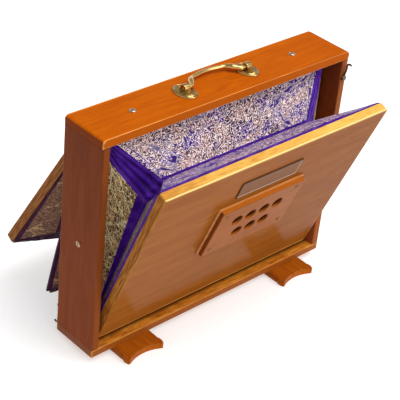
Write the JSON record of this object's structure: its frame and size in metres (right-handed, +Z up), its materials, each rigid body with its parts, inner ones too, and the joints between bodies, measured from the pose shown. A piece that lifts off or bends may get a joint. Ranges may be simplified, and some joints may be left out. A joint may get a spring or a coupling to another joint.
{
  "type": "shruti box",
  "caption": "Bellows drone box: wooden case on two feet, hinged feeder board with folded bellows in front, reservoir board with tone tabs behind, brass handle on top.",
  "frame": {"origin": "on the floor under the feet, at the middle of the overall width and depth", "axes": "+X to the right seen from the front, along the case; +Y to the rear; +Z up"},
  "size_m": [0.4038, 0.2865, 0.3288],
  "materials": {
    "orange_wood": "gloss varnish",
    "brown_wood": "gloss varnish",
    "honey_wood": "gloss varnish",
    "pale_wood": "bare",
    "brocade": "foil-printed card",
    "satin": "satin",
    "leather": "matte",
    "brass": "polished",
    "steel": "satin",
    "ivory": "gloss",
    "label": "gloss"
  },
  "bodies": {
    "case": {"top_board": "orange_wood", "bottom_board": "orange_wood", "left_side_board": "brown_wood", "right_side_board": "brown_wood", "partition_board": "pale_wood", "front_hinge_rail": "pale_wood", "rear_hinge_rail": "pale_wood", "left_foot": "orange_wood", "right_foot": "orange_wood", "left_handle_plate": "brass", "right_handle_plate": "brass", "handle_screw_1": "brass", "handle_screw_2": "brass", "handle_screw_3": "brass", "handle_screw_4": "brass", "left_top_screw": "steel", "right_top_screw": "steel", "left_side_screw": "steel", "right_side_screw": "steel", "front_hook_screw": "steel", "rear_hook_screw": "steel", "front_bellows_top": "brocade", "front_bellows_left": "brocade", "front_bellows_right": "brocade", "front_left_gusset": "satin", "front_right_gusset": "satin", "front_hinge_cloth": "leather", "rear_bellows_bottom": "brocade", "rear_bellows_left": "brocade", "rear_bellows_right": "brocade", "rear_left_gusset": "satin", "rear_right_gusset": "satin", "rear_hinge_cloth": "leather"},
    "front_board": {"front_board": "honey_wood", "intake_grille": "orange_wood", "name_plate": "label", "grille_screw_1": "brass", "grille_screw_2": "brass", "grille_screw_3": "brass", "grille_screw_4": "brass"},
    "intake_valve": {"intake_valve": "leather"},
    "transfer_valve": {"transfer_valve": "leather"},
    "rear_board": {"rear_board": "honey_wood", "reed_plate": "brass"},
    "handle": {"handle_bail": "brass"},
    "front_hook": {"front_hook": "steel"},
    "rear_hook": {"rear_hook": "steel"},
    "tone_tab_01": {"tone_tab_01": "ivory"},
    "tone_tab_02": {"tone_tab_02": "ivory"},
    "tone_tab_03": {"tone_tab_03": "ivory"},
    "tone_tab_04": {"tone_tab_04": "ivory"},
    "tone_tab_05": {"tone_tab_05": "ivory"},
    "tone_tab_06": {"tone_tab_06": "ivory"},
    "tone_tab_07": {"tone_tab_07": "ivory"},
    "tone_tab_08": {"tone_tab_08": "ivory"},
    "tone_tab_09": {"tone_tab_09": "ivory"},
    "tone_tab_10": {"tone_tab_10": "ivory"},
    "tone_tab_11": {"tone_tab_11": "ivory"},
    "tone_tab_12": {"tone_tab_12": "ivory"},
    "tone_tab_13": {"tone_tab_13": "ivory"}
  },
  "joints": [
    {"name": "front_board_hinge", "type": "hinge", "parent": "case", "child": "front_board", "pos_m": [0, -0.0345, 0.0299], "axis": [1, 0, 0], "range_deg": [-21.1, 0], "deforming": ["front_bellows_top", "front_bellows_left", "front_bellows_right", "front_left_gusset", "front_right_gusset", "front_hinge_cloth"]},
    {"name": "rear_board_hinge", "type": "hinge", "parent": "case", "child": "rear_board", "pos_m": [0, -0.0089, 0.2967], "axis": [1, 0, 0], "range_deg": [-31.5, 0], "deforming": ["rear_bellows_bottom", "rear_bellows_left", "rear_bellows_right", "rear_left_gusset", "rear_right_gusset", "rear_hinge_cloth"]},
    {"name": "handle_swing", "type": "hinge", "parent": "case", "child": "handle", "pos_m": [0, -0.0217, 0.3236], "axis": [1, 0, 0], "range_deg": [0, 187]},
    {"name": "intake_valve_flap", "type": "hinge", "parent": "front_board", "child": "intake_valve", "pos_m": [0, -0.1019, 0.2054], "axis": [1, 0, 0], "range_deg": [0, 5]},
    {"name": "transfer_valve_flap", "type": "hinge", "parent": "case", "child": "transfer_valve", "pos_m": [0, -0.0174, 0.1233], "axis": [1, 0, 0], "range_deg": [0, 5]},
    {"name": "front_hook_turn", "type": "hinge", "parent": "case", "child": "front_hook", "pos_m": [0.1945, -0.0579, 0.2813], "axis": [0, 1, 0], "range_deg": [-90, 0]},
    {"name": "rear_hook_turn", "type": "hinge", "parent": "case", "child": "rear_hook", "pos_m": [-0.1945, 0.0145, 0.0453], "axis": [0, 1, 0], "range_deg": [-90, 0]},
    {"name": "tone_tab_01_turn", "type": "hinge", "parent": "rear_board", "child": "tone_tab_01", "pos_m": [-0.144, 0.06429, 0.20081], "axis": [0, 0.8526, 0.5225], "range_deg": [0, 20]},
    {"name": "tone_tab_02_turn", "type": "hinge", "parent": "rear_board", "child": "tone_tab_02", "pos_m": [-0.12, 0.06429, 0.20081], "axis": [0, 0.8526, 0.5225], "range_deg": [0, 20]},
    {"name": "tone_tab_03_turn", "type": "hinge", "parent": "rear_board", "child": "tone_tab_03", "pos_m": [-0.096, 0.06429, 0.20081], "axis": [0, 0.8526, 0.5225], "range_deg": [0, 20]},
    {"name": "tone_tab_04_turn", "type": "hinge", "parent": "rear_board", "child": "tone_tab_04", "pos_m": [-0.072, 0.06429, 0.20081], "axis": [0, 0.8526, 0.5225], "range_deg": [0, 20]},
    {"name": "tone_tab_05_turn", "type": "hinge", "parent": "rear_board", "child": "tone_tab_05", "pos_m": [-0.048, 0.06429, 0.20081], "axis": [0, 0.8526, 0.5225], "range_deg": [0, 20]},
    {"name": "tone_tab_06_turn", "type": "hinge", "parent": "rear_board", "child": "tone_tab_06", "pos_m": [-0.024, 0.06429, 0.20081], "axis": [0, 0.8526, 0.5225], "range_deg": [0, 20]},
    {"name": "tone_tab_07_turn", "type": "hinge", "parent": "rear_board", "child": "tone_tab_07", "pos_m": [0, 0.06429, 0.20081], "axis": [0, 0.8526, 0.5225], "range_deg": [0, 20]},
    {"name": "tone_tab_08_turn", "type": "hinge", "parent": "rear_board", "child": "tone_tab_08", "pos_m": [0.024, 0.06429, 0.20081], "axis": [0, 0.8526, 0.5225], "range_deg": [0, 20]},
    {"name": "tone_tab_09_turn", "type": "hinge", "parent": "rear_board", "child": "tone_tab_09", "pos_m": [0.048, 0.06429, 0.20081], "axis": [0, 0.8526, 0.5225], "range_deg": [0, 20]},
    {"name": "tone_tab_10_turn", "type": "hinge", "parent": "rear_board", "child": "tone_tab_10", "pos_m": [0.072, 0.06429, 0.20081], "axis": [0, 0.8526, 0.5225], "range_deg": [0, 20]},
    {"name": "tone_tab_11_turn", "type": "hinge", "parent": "rear_board", "child": "tone_tab_11", "pos_m": [0.096, 0.06429, 0.20081], "axis": [0, 0.8526, 0.5225], "range_deg": [0, 20]},
    {"name": "tone_tab_12_turn", "type": "hinge", "parent": "rear_board", "child": "tone_tab_12", "pos_m": [0.12, 0.06429, 0.20081], "axis": [0, 0.8526, 0.5225], "range_deg": [0, 20]},
    {"name": "tone_tab_13_turn", "type": "hinge", "parent": "rear_board", "child": "tone_tab_13", "pos_m": [0.144, 0.06429, 0.20081], "axis": [0, 0.8526, 0.5225], "range_deg": [0, 20]}
  ]
}
